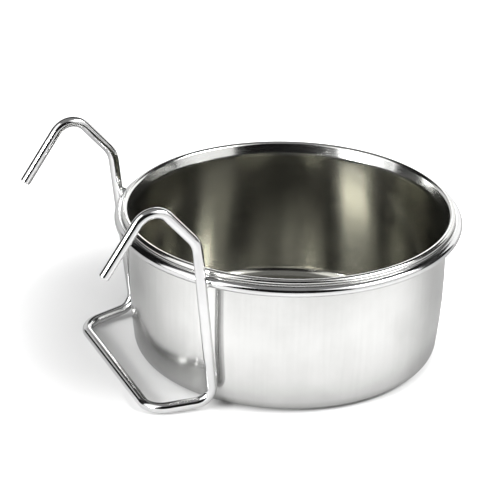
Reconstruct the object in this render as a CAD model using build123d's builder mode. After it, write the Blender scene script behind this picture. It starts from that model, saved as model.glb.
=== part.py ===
from build123d import *
from math import cos, radians, sin, sqrt, tan
import os

# Seed cup that hangs in a cage: a drawn steel cup with a flared lip and a rolled bead, carried by a wire ring
# that is welded to a bent hanger wire with two hooks and a foot. Millimetres. The origin is the centre of the
# cup's base on the surface that it stands on, +Z is up, and the cage side (hooks and foot) faces -X.

# Cup
cup_height = 46.1
bead_diameter = 2.0
rim_diameter = 101.6
sheet = 0.5
lip_length = 2.9
lip_flare = 18.0
lip_bend_radius = 4.0
wall_draft = 0.4
wall_break_height = 16.0
lower_wall_draft = 7.0
wall_break_radius = 170.0
corner_radius = 4.5

# Ring under the bead
wire_diameter = 3.2
ring_outset = 1.5
seat_gap = 0.12

# Hanger wire: places are corners of its centreline, before the bends round them
leg_spacing = 69.0
leg_lean = 7.0
leg_splay = 2.1
weld_gap = 0.12
foot_reach = 18.6
foot_front_width = 58.2
heel_rise = 2.0
shoulder_height = 56.4
peak_rise = 15.8
peak_reach = 14.0
tip_drop = 21.7
tip_reach = 14.4
hook_bend_radius = 6.0
shoulder_bend_radius = 9.0
heel_bend_radius = 5.0
foot_bend_radius = 7.0
tip_rounding = 0.5

# Weld metal at each crossing of leg and ring
weld_diameter = 3.6

os.makedirs("parts", exist_ok=True)

# Worked out from the sizes above
bead_radius = bead_diameter / 2
wire_radius = wire_diameter / 2
bead_centre_radius = rim_diameter / 2 - bead_radius
bead_centre_height = cup_height - bead_radius
curl_radius = bead_radius - sheet
flare = radians(lip_flare)
lip_top = (bead_centre_radius - curl_radius * cos(flare), bead_centre_height + curl_radius * sin(flare))
lip_foot = (lip_top[0] - lip_length * sin(flare), lip_top[1] - lip_length * cos(flare))
wall_break = (lip_foot[0] - (lip_foot[1] - wall_break_height) * tan(radians(wall_draft)), wall_break_height)
base_corner = (wall_break[0] - wall_break_height * tan(radians(lower_wall_draft)), 0)

# The ring lies under the bead, a little further out, and carries it
ring_radius = bead_centre_radius + ring_outset
seat_distance = bead_radius + wire_radius + seat_gap
ring_height = bead_centre_height - sqrt(seat_distance**2 - ring_outset**2)

# Each leg passes the ring on its outside, and leans toward the cage as it rises
weld_circle = ring_radius + wire_diameter + weld_gap
cross_y = leg_spacing / 2
cross_x = -sqrt(weld_circle**2 - cross_y**2)


def leg_point(height):
    """Centre of the +Y leg at a height."""
    rise = height - ring_height
    return Vector(cross_x - rise * tan(radians(leg_lean)), cross_y + rise * tan(radians(leg_splay)), height)


shoulder = leg_point(shoulder_height)
heel = leg_point(wire_radius + heel_rise)
toe = Vector(heel.X - foot_reach, foot_front_width / 2, wire_radius)
peak = shoulder + Vector(-peak_reach, 0, peak_rise)
tip = peak + Vector(-tip_reach, 0, -tip_drop)

half_route = [tip, peak, shoulder, heel, toe]
half_bends = [hook_bend_radius, shoulder_bend_radius, heel_bend_radius, foot_bend_radius]


def mirrored(point):
    """The same place on the -Y side."""
    return Vector(point.X, -point.Y, point.Z)


route = half_route + [mirrored(point) for point in reversed(half_route)]
bends = half_bends + half_bends[::-1]

# Cup: the bead curled outward and open at its lower inner side, and the drawn sheet from the base centre to it
with BuildPart() as cup:
    with BuildSketch(Plane.XZ):
        with Locations((bead_centre_radius, bead_centre_height)):
            Circle(bead_radius)
            Circle(curl_radius, mode=Mode.SUBTRACT)
            Rectangle(
                bead_diameter,
                bead_diameter,
                rotation=-lip_flare,
                align=(Align.MAX, Align.MAX),
                mode=Mode.SUBTRACT,
            )
        with BuildLine():
            FilletPolyline(
                (0, 0),
                base_corner,
                wall_break,
                lip_foot,
                lip_top,
                radius=[corner_radius, wall_break_radius, lip_bend_radius],
            )
            offset(amount=sheet, side=Side.LEFT)
        make_face()
    revolve(axis=Axis.Z)
cup.part.label = "cup"
export_step(cup.part, "parts/cup.step")

# Ring: a closed loop of wire
with BuildPart() as ring:
    with BuildSketch(Plane.XZ):
        with Locations((ring_radius, ring_height)):
            Circle(wire_radius)
    revolve(axis=Axis.Z)
ring.part.label = "ring"
export_step(ring.part, "parts/ring.step")

# Hanger wire: one round wire along the whole route, with its two cut ends rounded
with BuildPart() as hanger_wire:
    with BuildLine() as hanger_route:
        FilletPolyline(*route, radius=bends)
    with BuildSketch(Plane(hanger_route.line @ 0, z_dir=hanger_route.line % 0)):
        Circle(wire_radius)
    sweep()
    tip_faces = hanger_wire.faces().filter_by(GeomType.PLANE)
    fillet(tip_faces.edges(), radius=tip_rounding)
hanger_wire.part.label = "hanger_wire"
export_step(hanger_wire.part, "parts/hanger_wire.step")

# Weld metal: a bead around each crossing, filling what the two wires leave free
for side, name in ((1, "left_weld"), (-1, "right_weld")):
    outward = Vector(cross_x, side * cross_y, 0).normalized()
    crossing = outward * (ring_radius + wire_radius + weld_gap / 2) + Vector(0, 0, ring_height)
    with BuildPart() as weld:
        with Locations(crossing):
            Sphere(weld_diameter / 2)
        add(ring.part, mode=Mode.SUBTRACT)
        add(hanger_wire.part, mode=Mode.SUBTRACT)
    weld.part.label = name
    export_step(weld.part, f"parts/{name}.step")
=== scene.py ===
import math

import bpy
from mathutils import Matrix, Vector


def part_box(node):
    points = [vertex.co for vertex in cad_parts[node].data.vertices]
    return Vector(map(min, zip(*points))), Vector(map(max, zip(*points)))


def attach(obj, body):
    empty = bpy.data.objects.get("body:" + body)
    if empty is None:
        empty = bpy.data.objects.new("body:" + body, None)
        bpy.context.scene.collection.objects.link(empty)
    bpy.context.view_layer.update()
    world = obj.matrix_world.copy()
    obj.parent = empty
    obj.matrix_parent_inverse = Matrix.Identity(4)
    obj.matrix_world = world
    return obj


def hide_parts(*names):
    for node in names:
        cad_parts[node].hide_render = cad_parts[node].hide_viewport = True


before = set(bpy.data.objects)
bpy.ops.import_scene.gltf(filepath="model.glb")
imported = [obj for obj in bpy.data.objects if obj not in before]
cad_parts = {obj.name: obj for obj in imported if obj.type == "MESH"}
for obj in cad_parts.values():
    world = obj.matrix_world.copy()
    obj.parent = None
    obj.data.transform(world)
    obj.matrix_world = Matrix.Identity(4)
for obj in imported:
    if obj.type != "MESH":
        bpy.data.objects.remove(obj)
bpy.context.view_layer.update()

# Seed cup in its wire holder, in metres: origin at the centre of the cup's base, +Z up, cage side at -X
MM = 0.001

# Cup: rim and height come from the frame, the rest is the drawn sheet's own shape
cup_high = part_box("cup")[1]
rim_radius = cup_high.x
cup_height = cup_high.z
bead_radius = 1.0 * MM
sheet = 0.5 * MM
curl_sweep = math.radians(270.0)
lip_length = 2.9 * MM
lip_flare = math.radians(18.0)
lip_bend_radius = 4.0 * MM
wall_draft = math.radians(0.4)
wall_break_height = 16.0 * MM
lower_wall_draft = math.radians(7.0)
wall_break_radius = 170.0 * MM
corner_radius = 4.5 * MM

# Ring, from the frame
ring_low, ring_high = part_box("ring")
wire_radius = (ring_high.z - ring_low.z) / 2
ring_height = (ring_high.z + ring_low.z) / 2
ring_radius = ring_high.x - wire_radius

# Hanger wire: corners of its centreline before the bends round them
leg_spacing = 69.0 * MM
leg_lean = math.radians(7.0)
leg_splay = math.radians(2.1)
weld_gap = 0.12 * MM
foot_reach = 18.6 * MM
foot_front_width = 58.2 * MM
heel_rise = 2.0 * MM
shoulder_height = 56.4 * MM
peak_rise = 15.8 * MM
peak_reach = 14.0 * MM
tip_drop = 21.7 * MM
tip_reach = 14.4 * MM
hook_bend_radius = 6.0 * MM
shoulder_bend_radius = 9.0 * MM
heel_bend_radius = 5.0 * MM
foot_bend_radius = 7.0 * MM
tip_rounding = 0.5 * MM

# Fineness of the meshes
lathe_steps = 288
wire_steps = 40
tip_steps = 6
bend_step = math.radians(3.0)
curl_step = math.radians(6.0)

# Metal surfaces: the scale of each noise, the lines' share of the wear, and the span of most of a noise
line_turns = 4
cloud_scale = 55.0
streak_turns = 45
streak_climb = 25
line_share = 0.6
noise_low = 0.3
noise_high = 0.7
noise_middle = (noise_low + noise_high) / 2

# Turn that draws the highlights up and down the wall, as a share of a full turn
quarter_turn = 0.25

# Camera, as the photograph was taken: the cup's middle lies at this place in the picture
picture_size = 500
picture_focal = 2600.0
view_azimuth = math.radians(-23.4185)
view_elevation = math.radians(25.7407)
view_roll = math.radians(1.3346)
view_distance = 798.83 * MM
middle_height = 25.0 * MM
middle_pixel = (286.678, 268.805)
sensor_width = 36.0

# Floor: right and depth are measured on it from the cup's axis, as the camera sees them
floor_half = 4.0
floor_drop = 0.1 * MM
floor_tone = 0.66

# White that the camera sees, held back around set spots at the foot and the base: partly real shadow, partly
# painted shade
shade_right = -45.0 * MM
shade_depth = -6.0 * MM
shade_stretch = 2.0
white_start = 5.0 * MM
white_end = 100.0 * MM
white_level = 1.0
contact_start = 42.0 * MM
contact_end = 56.0 * MM

# Floor that the metal reflects: painted light in front of the cup, painted shade behind it and at its base,
# fading far off
painted_fade_start = -60.0 * MM
painted_fade_end = 30.0 * MM
painted_shade_back_tone = 0.52
painted_base_shade = 0.55
painted_base_shade_start = 43.0 * MM
painted_base_shade_end = 62.0 * MM
painted_light_level = 0.38
painted_light_near_share = 0.2
painted_light_start = 50.0 * MM
painted_light_end = 90.0 * MM
painted_falloff_share = 0.2
painted_falloff_start = 95.0 * MM
painted_falloff_end = 150.0 * MM

# Room around the lamps
room_level = 0.004


def rounded_path(corners, radii):
    """Points and directions along the corners, with each inner corner replaced by an arc of its radius."""
    path = [(corners[0], (corners[1] - corners[0]).normalized())]
    for before, corner, after, radius in zip(corners, corners[1:], corners[2:], radii):
        arriving = (corner - before).normalized()
        leaving = (after - corner).normalized()
        turn = arriving.angle(leaving)
        start = corner - arriving * radius * math.tan(turn / 2)
        centre = start + (leaving - arriving * arriving.dot(leaving)).normalized() * radius
        axis = arriving.cross(leaving).normalized()
        steps = math.ceil(turn / bend_step)
        for i in range(steps + 1):
            spin = Matrix.Rotation(turn * i / steps, 3, axis)
            path.append((centre + spin @ (start - centre), spin @ arriving))
    path.append((corners[-1], (corners[-1] - corners[-2]).normalized()))
    return path


def skin(name, rings, bands, materials, first_pole=None, last_pole=None, closed=False):
    """A smooth mesh through rings of (place, normal) pairs; bands gives each band's material number."""
    points = []
    normals = []
    faces = []
    numbers = []
    around = len(rings[0])
    for ring in rings:
        for place, normal in ring:
            points.append(place)
            normals.append(normal)
    pairs = list(zip(range(len(rings)), range(1, len(rings))))
    if closed:
        pairs.append((len(rings) - 1, 0))
    for band, (low, high) in enumerate(pairs):
        for j in range(around):
            k = (j + 1) % around
            faces.append((low * around + j, low * around + k, high * around + k, high * around + j))
            numbers.append(bands[band])
    for pole, row, order, band in ((first_pole, 0, 1, 0), (last_pole, len(rings) - 1, -1, -1)):
        if pole is None:
            continue
        points.append(pole[0])
        normals.append(pole[1])
        for j in range(around):
            pair = [row * around + (j + 1) % around, row * around + j][::order]
            faces.append((len(points) - 1, *pair))
            numbers.append(bands[band])
    mesh = bpy.data.meshes.new(name)
    mesh.from_pydata([tuple(point) for point in points], [], faces)
    for material in materials:
        mesh.materials.append(material)
    mesh.polygons.foreach_set("material_index", numbers)
    mesh.polygons.foreach_set("use_smooth", [True] * len(faces))
    mesh.normals_split_custom_set_from_vertices([tuple(normal) for normal in normals])
    mesh.update()
    piece = bpy.data.objects.new(name, mesh)
    bpy.context.scene.collection.objects.link(piece)
    return piece


def turned(section):
    """Rings around the Z axis through a section of (radius, height, normal) triples."""
    rings = []
    for radius, height, normal in section:
        ring = []
        for j in range(lathe_steps):
            angle = 2 * math.pi * j / lathe_steps
            cosine = math.cos(angle)
            sine = math.sin(angle)
            place = Vector((radius * cosine, radius * sine, height))
            ring.append((place, Vector((normal.x * cosine, normal.x * sine, normal.z))))
        rings.append(ring)
    return rings


def right_of(direction):
    """The normal on the right of a direction in the XZ plane."""
    return Vector((direction.z, 0, -direction.x))


def bead_arc(bead, radius, start, end, facing):
    """Section of the bead's sheet on an arc about its centre; facing is 1 outward and -1 inward."""
    steps = math.ceil(abs(end - start) / curl_step)
    section = []
    for i in range(steps + 1):
        angle = start + (end - start) * i / steps
        out = Vector((math.cos(angle), 0, math.sin(angle)))
        section.append((bead.x + radius * out.x, bead.z + radius * out.z, out * facing))
    return section


def cup_piece(outside_metal, rim_metal, shaded_inside_metal):
    """The drawn cup: outside, curl, bead, lip and inside as one closed sheet."""
    bead = Vector((rim_radius - bead_radius, 0, cup_height - bead_radius))
    curl_radius = bead_radius - sheet
    lip_top = bead + curl_radius * Vector((-math.cos(lip_flare), 0, math.sin(lip_flare)))
    lip_foot = lip_top - lip_length * Vector((math.sin(lip_flare), 0, math.cos(lip_flare)))
    wall_fall = lip_foot.z - wall_break_height
    wall_break = Vector((lip_foot.x - wall_fall * math.tan(wall_draft), 0, wall_break_height))
    base_corner = Vector((wall_break.x - wall_break_height * math.tan(lower_wall_draft), 0, 0))
    corners = [Vector((0, 0, 0)), base_corner, wall_break, lip_foot, lip_top]
    sheet_path = rounded_path(corners, [corner_radius, wall_break_radius, lip_bend_radius])[1:-1]

    outside = [(place.x, place.z, right_of(direction)) for place, direction in sheet_path]
    lip_angle = math.pi - lip_flare
    curl_end = lip_angle - curl_sweep
    curl = bead_arc(bead, curl_radius, lip_angle, curl_end, -1)
    curl += bead_arc(bead, bead_radius, curl_end, lip_angle, 1)
    inside = []
    for place, direction in reversed(sheet_path):
        inner_place = place - right_of(direction) * sheet
        inside.append((inner_place.x, inner_place.z, -right_of(direction)))

    # The rim's finish covers the lip and ends where its bend meets the wall
    rim_rows = len([row for row in inside if row[1] >= lip_foot.z - lip_bend_radius]) - 1
    section = outside + curl + inside
    bands = [0] * len(outside) + [1] * (len(curl) + rim_rows) + [2] * (len(inside) - rim_rows)
    first_pole = (Vector((0, 0, 0)), Vector((0, 0, -1)))
    last_pole = (Vector((0, 0, sheet)), Vector((0, 0, 1)))
    metals = [outside_metal, rim_metal, shaded_inside_metal]
    return skin("cup_shell", turned(section), bands, metals, first_pole, last_pole)


def ring_piece(material):
    """The closed wire ring."""
    section = []
    for i in range(wire_steps):
        angle = 2 * math.pi * i / wire_steps
        out = Vector((math.cos(angle), 0, math.sin(angle)))
        section.append((ring_radius + wire_radius * out.x, ring_height + wire_radius * out.z, out))
    return skin("ring_wire", turned(section), [0] * wire_steps, [material], closed=True)


def leg_point(height):
    """Centre of the +Y leg at a height; it passes outside the ring and leans toward the cage."""
    weld_circle = ring_radius + 2 * wire_radius + weld_gap
    cross_y = leg_spacing / 2
    cross_x = -math.sqrt(weld_circle**2 - cross_y**2)
    rise = height - ring_height
    return Vector((cross_x - rise * math.tan(leg_lean), cross_y + rise * math.tan(leg_splay), height))


def hanger_route():
    """Corners of the hanger wire's centreline, from the +Y hook's tip to the -Y hook's tip."""
    shoulder = leg_point(shoulder_height)
    heel = leg_point(wire_radius + heel_rise)
    toe = Vector((heel.x - foot_reach, foot_front_width / 2, wire_radius))
    peak = shoulder + Vector((-peak_reach, 0, peak_rise))
    tip = peak + Vector((-tip_reach, 0, -tip_drop))
    half = [tip, peak, shoulder, heel, toe]
    return half + [Vector((corner.x, -corner.y, corner.z)) for corner in reversed(half)]


def wire_frames(path):
    """Each place and direction of a path, with a side that turns along it without twisting."""
    previous = path[0][1]
    side = previous.cross(Vector((0, 0, 1))).normalized()
    frames = []
    for place, direction in path:
        side = previous.rotation_difference(direction) @ side
        side = (side - direction * side.dot(direction)).normalized()
        frames.append((place, direction, side))
        previous = direction
    return frames


def wire_ring(place, direction, side, radius, tilt):
    """A ring of the wire's surface; tilt leans its normals along the wire."""
    other = direction.cross(side)
    ring = []
    for j in range(wire_steps):
        angle = 2 * math.pi * j / wire_steps
        out = side * math.cos(angle) + other * math.sin(angle)
        ring.append((place + out * radius, out * math.cos(tilt) + direction * math.sin(tilt)))
    return ring


def wire_end(place, direction, side, way):
    """Rings round a cut end, toward its flat face; way is -1 at the wire's start and 1 at its finish."""
    rings = []
    for i in range(tip_steps + 1):
        tilt = math.pi / 2 * i / tip_steps
        centre = place - direction * way * tip_rounding * (1 - math.sin(tilt))
        radius = wire_radius - tip_rounding * (1 - math.cos(tilt))
        rings.append(wire_ring(centre, direction, side, radius, way * tilt))
    return rings


def hanger_piece(material):
    """The bent hanger wire, with its two cut ends rounded."""
    bends = [hook_bend_radius, shoulder_bend_radius, heel_bend_radius, foot_bend_radius]
    frames = wire_frames(rounded_path(hanger_route(), bends + bends[::-1]))
    rings = wire_end(*frames[0], -1)[::-1]
    for place, direction, side in frames[1:-1]:
        rings.append(wire_ring(place, direction, side, wire_radius, 0))
    rings += wire_end(*frames[-1], 1)
    first_pole = (frames[0][0], -frames[0][1])
    last_pole = (frames[-1][0], frames[-1][1])
    return skin("hanger_bent_wire", rings, [0] * len(rings), [material], first_pole, last_pole)


class Nodes:
    """Short calls for building a node tree."""

    def __init__(self, tree):
        self.tree = tree

    def add(self, kind, inputs=None, **settings):
        node = self.tree.nodes.new(kind)
        for key, value in settings.items():
            setattr(node, key, value)
        for key, value in (inputs or {}).items():
            self.put(node.inputs[key], value)
        return node

    def put(self, socket, value):
        if isinstance(value, bpy.types.NodeSocket):
            self.tree.links.new(value, socket)
        else:
            socket.default_value = value

    def math(self, operation, first, second):
        return self.add("ShaderNodeMath", {0: first, 1: second}, operation=operation).outputs[0]

    def vector(self, operation, first, second=(0, 0, 0), output="Vector"):
        node = self.add("ShaderNodeVectorMath", {0: first, 1: second}, operation=operation)
        return node.outputs[output]

    def ramp(self, value, low, high, low_out, high_out):
        inputs = {"Value": value, "From Min": low, "From Max": high, "To Min": low_out, "To Max": high_out}
        return self.add("ShaderNodeMapRange", inputs, interpolation_type="SMOOTHSTEP").outputs["Result"]

    def noise(self, vector, scale, detail, roughness):
        inputs = {"Vector": vector, "Scale": scale, "Detail": detail, "Roughness": roughness}
        return self.add("ShaderNodeTexNoise", inputs).outputs["Fac"]

    def mix(self, share, first, second):
        inputs = {"Factor": share, "A": first, "B": second}
        node = self.add("ShaderNodeMix", data_type="RGBA")
        for socket in node.inputs:
            if socket.enabled and socket.name in inputs:
                self.put(socket, inputs[socket.name])
        return next(socket for socket in node.outputs if socket.enabled)


def metal(name, dark, light, roughness, roughness_spread, lines, line_depth, across=0.0, streak_share=0.0):
    """A metal polished round the cup's axis, with fine lines and cloudy wear.

    lines is how many there are in a metre, across draws highlights out across them, and streak_share
    gives the colour faint upright streaks.
    """
    material = bpy.data.materials.new(name)
    material.use_nodes = True
    nodes = Nodes(material.node_tree)
    shader = material.node_tree.nodes["Principled BSDF"]
    place = nodes.add("ShaderNodeTexCoord").outputs["Object"]
    height = nodes.add("ShaderNodeSeparateXYZ", {0: place}).outputs["Z"]
    flat = nodes.vector("MULTIPLY", place, (1, 1, 0))
    radius = nodes.vector("LENGTH", flat, output="Value")
    turn = nodes.vector("NORMALIZE", flat)

    # Lines and wear give the roughness, and the lines alone the bump
    climb = nodes.math("MULTIPLY", nodes.math("ADD", height, radius), lines)
    lift = nodes.add("ShaderNodeCombineXYZ", {"Z": climb}).outputs[0]
    along = nodes.vector("ADD", nodes.vector("MULTIPLY", turn, (line_turns, line_turns, 0)), lift)
    scratches = nodes.noise(along, scale=1.0, detail=5.0, roughness=0.65)
    clouds = nodes.noise(place, cloud_scale, detail=4.0, roughness=0.55)
    scratched = nodes.math("MULTIPLY", scratches, line_share)
    worn = nodes.math("ADD", scratched, nodes.math("MULTIPLY", clouds, 1 - line_share))
    smoothest = roughness - roughness_spread
    rough = nodes.ramp(worn, noise_low, noise_high, smoothest, roughness + roughness_spread)
    nodes.put(shader.inputs["Roughness"], rough)
    bump = nodes.add("ShaderNodeBump", {"Height": scratches, "Strength": 1.0, "Distance": line_depth})
    nodes.put(shader.inputs["Normal"], bump.outputs[0])

    # Wear and streaks give the colour
    shade = clouds
    if streak_share:
        around = nodes.vector("MULTIPLY", turn, (streak_turns, streak_turns, 0))
        upright = nodes.vector("ADD", around, nodes.vector("MULTIPLY", place, (0, 0, streak_climb)))
        streaks = nodes.noise(upright, scale=1.0, detail=4.0, roughness=0.6)
        swing = nodes.math("SUBTRACT", streaks, noise_middle)
        shade = nodes.math("ADD", clouds, nodes.math("MULTIPLY", swing, streak_share))
    tint = nodes.mix(nodes.ramp(shade, noise_low, noise_high, 0.0, 1.0), dark, light)
    nodes.put(shader.inputs["Base Color"], tint)

    shader.inputs["Metallic"].default_value = 1.0
    if across:
        shader.inputs["Anisotropic"].default_value = across
        shader.inputs["Anisotropic Rotation"].default_value = quarter_turn
        tangent = nodes.add("ShaderNodeTangent", direction_type="RADIAL", axis="Z")
        nodes.put(shader.inputs["Tangent"], tangent.outputs[0])
    return material


def floor_paper():
    """Pale paper: white for the camera but for nearby shadows, with painted light and shade in reflections.
    """
    material = bpy.data.materials.new("floor_paper")
    material.use_nodes = True
    tree = material.node_tree
    tree.nodes.clear()
    nodes = Nodes(tree)
    place = nodes.add("ShaderNodeNewGeometry").outputs["Position"]
    rays = nodes.add("ShaderNodeLightPath").outputs
    rightward = (math.cos(view_azimuth), math.sin(view_azimuth), 0)
    backward = (-math.sin(view_azimuth), math.cos(view_azimuth), 0)
    right = nodes.vector("DOT_PRODUCT", place, rightward, output="Value")
    depth = nodes.vector("DOT_PRODUCT", place, backward, output="Value")
    away = nodes.vector("LENGTH", place, output="Value")

    # Paper: one tone for the camera, and painted shade behind the cup and close to its base in its
    # reflections
    behind = nodes.ramp(depth, painted_fade_start, painted_fade_end, floor_tone, painted_shade_back_tone)
    painted_shade_at_base = nodes.ramp(away, painted_base_shade_start, painted_base_shade_end, painted_base_shade, 1.0)
    painted_floor_shade = nodes.math("MULTIPLY", behind, painted_shade_at_base)
    tone = nodes.math("MAXIMUM", painted_floor_shade, nodes.math("MULTIPLY", rays["Is Camera Ray"], floor_tone))
    paper = nodes.add("ShaderNodeBsdfDiffuse", {"Color": tone})

    # White for the camera away from set spots at the foot and base: partly real shadow, partly painted shade
    across = nodes.math("SUBTRACT", right, shade_right)
    along = nodes.math("DIVIDE", nodes.math("SUBTRACT", depth, shade_depth), shade_stretch)
    shade = nodes.add("ShaderNodeCombineXYZ", {"X": across, "Y": along}).outputs[0]
    from_shade = nodes.vector("LENGTH", shade, output="Value")
    white = nodes.ramp(from_shade, white_start, white_end, 0.0, white_level)
    open_floor = nodes.math("MULTIPLY", white, nodes.ramp(away, contact_start, contact_end, 0.0, 1.0))
    seen = nodes.math("MULTIPLY", open_floor, rays["Is Camera Ray"])

    # Painted pool of light in front of the cup that only reflections see, with painted shade close to the
    # base and fading far off
    front = nodes.ramp(depth, painted_fade_start, painted_fade_end, painted_light_level, 0.0)
    near = nodes.math("MULTIPLY", front, nodes.ramp(away, painted_light_start, painted_light_end, painted_light_near_share, 1.0))
    fall = nodes.ramp(away, painted_falloff_start, painted_falloff_end, 1.0, painted_falloff_share)
    painted_reflected_light = nodes.math("MULTIPLY", nodes.math("MULTIPLY", near, fall), rays["Is Glossy Ray"])

    glow = nodes.add("ShaderNodeEmission", {"Strength": nodes.math("ADD", seen, painted_reflected_light)})
    both = nodes.add("ShaderNodeAddShader", {0: paper.outputs[0], 1: glow.outputs[0]})
    nodes.add("ShaderNodeOutputMaterial", {"Surface": both.outputs[0]})
    return material


def floor_piece(material):
    """A plain square floor just under the object."""
    half = floor_half
    corners = [(-half, -half), (half, -half), (half, half), (-half, half)]
    mesh = bpy.data.meshes.new("floor")
    mesh.from_pydata([(x, y, -floor_drop) for x, y in corners], [], [(0, 1, 2, 3)])
    mesh.materials.append(material)
    floor = bpy.data.objects.new("floor", mesh)
    bpy.context.scene.collection.objects.link(floor)


def studio_world():
    """A dark room around the softboxes, white where the camera looks past the floor."""
    world = bpy.data.worlds.new("studio")
    bpy.context.scene.world = world
    world.use_nodes = True
    tree = world.node_tree
    tree.nodes.clear()
    nodes = Nodes(tree)
    rays = nodes.add("ShaderNodeLightPath").outputs
    strength = nodes.math("MAXIMUM", rays["Is Camera Ray"], room_level)
    glow = nodes.add("ShaderNodeBackground", {"Color": (1, 1, 1, 1), "Strength": strength})
    nodes.add("ShaderNodeOutputWorld", {"Surface": glow.outputs[0]})


def outward(azimuth, elevation):
    """The direction from the cup to a place, with azimuth 0 at -Y."""
    level = math.cos(elevation)
    return Vector((math.sin(azimuth) * level, -math.cos(azimuth) * level, math.sin(elevation)))


def softbox(name, turn, elevation, distance, width, height, power):
    """A rectangular lamp that faces the cup's middle, in degrees, metres and watts.

    turn is measured from the camera's side, positive to its right.
    """
    lamp = bpy.data.lights.new(name, "AREA")
    lamp.shape = "RECTANGLE"
    lamp.size = width
    lamp.size_y = height
    lamp.energy = power
    stand = bpy.data.objects.new(name, lamp)
    stand.visible_camera = False
    bpy.context.scene.collection.objects.link(stand)
    out = outward(view_azimuth + math.radians(turn), math.radians(elevation))
    stand.location = out * distance + Vector((0, 0, middle_height))
    stand.rotation_mode = "QUATERNION"
    stand.rotation_quaternion = out.to_track_quat("Z", "Y")


def photo_camera():
    """The camera at the photograph's place, with the cup's middle at its pixel."""
    back = outward(view_azimuth, view_elevation)
    flat_right = Vector((math.cos(view_azimuth), math.sin(view_azimuth), 0))
    flat_up = back.cross(flat_right)
    right = flat_right * math.cos(view_roll) + flat_up * math.sin(view_roll)
    up = flat_up * math.cos(view_roll) - flat_right * math.sin(view_roll)
    metres_per_pixel = view_distance / picture_focal
    right_by = (middle_pixel[0] - picture_size / 2) * metres_per_pixel
    up_by = -(middle_pixel[1] - picture_size / 2) * metres_per_pixel
    data = bpy.data.cameras.new("camera")
    data.sensor_width = sensor_width
    data.lens = picture_focal * sensor_width / picture_size
    camera = bpy.data.objects.new("camera", data)
    bpy.context.scene.collection.objects.link(camera)
    turn = Matrix((right, up, back)).transposed().to_4x4()
    place = Vector((0, 0, middle_height)) + back * view_distance - right * right_by - up * up_by
    camera.matrix_world = Matrix.Translation(place) @ turn
    bpy.context.scene.camera = camera


satin = metal(
    "satin_steel",
    dark=(0.58, 0.58, 0.57, 1),
    light=(0.65, 0.65, 0.64, 1),
    roughness=0.13,
    roughness_spread=0.03,
    lines=5000,
    line_depth=0.005 * MM,
    across=0.98,
    streak_share=0.3,
)
polish = metal(
    "polished_rim",
    dark=(0.60, 0.60, 0.58, 1),
    light=(0.68, 0.68, 0.67, 1),
    roughness=0.15,
    roughness_spread=0.03,
    lines=3000,
    line_depth=0.0005 * MM,
)
# Same steel as the outside, coloured darker and olive inside as painted shade
inside_painted_shade = metal(
    "inside_steel_painted_shade",
    dark=(0.39, 0.386, 0.35, 1),
    light=(0.45, 0.446, 0.405, 1),
    roughness=0.17,
    roughness_spread=0.03,
    lines=5000,
    line_depth=0.001 * MM,
    across=0.5,
)
chrome = metal(
    "wire_chrome",
    dark=(0.60, 0.60, 0.60, 1),
    light=(0.67, 0.67, 0.67, 1),
    roughness=0.13,
    roughness_spread=0.04,
    lines=900,
    line_depth=0.001 * MM,
)
seam = metal(
    "weld_metal",
    dark=(0.60, 0.60, 0.59, 1),
    light=(0.75, 0.75, 0.74, 1),
    roughness=0.16,
    roughness_spread=0.06,
    lines=2500,
    line_depth=0.004 * MM,
)

cup = cup_piece(satin, polish, inside_painted_shade)
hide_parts("cup")
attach(cup, "cup")

ring = ring_piece(chrome)
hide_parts("ring")
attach(ring, "holder")

hanger = hanger_piece(chrome)
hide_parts("hanger_wire")
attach(hanger, "holder")

for name in ("left_weld", "right_weld"):
    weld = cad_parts[name]
    weld.data.materials.clear()
    weld.data.materials.append(seam)

floor_piece(floor_paper())
studio_world()
softbox("right_softbox", turn=65.5, elevation=33, distance=0.7, width=0.67, height=0.74, power=2.0)
softbox("right_window", turn=72, elevation=43, distance=0.7, width=0.44, height=0.22, power=4.7)
softbox("left_softbox", turn=-61.5, elevation=32, distance=0.7, width=0.61, height=0.74, power=2.3)
softbox("left_strip", turn=-52, elevation=16, distance=0.68, width=0.20, height=0.26, power=6.2)
softbox("ceiling_softbox", turn=0, elevation=84, distance=1.2, width=1.60, height=1.60, power=2.4)
softbox("back_left_card", turn=-158, elevation=15, distance=0.9, width=1.00, height=0.52, power=1.35)
softbox("back_right_card", turn=155, elevation=15, distance=0.9, width=1.00, height=0.52, power=2.4)
photo_camera()
bpy.context.scene.view_settings.view_transform = "Standard"
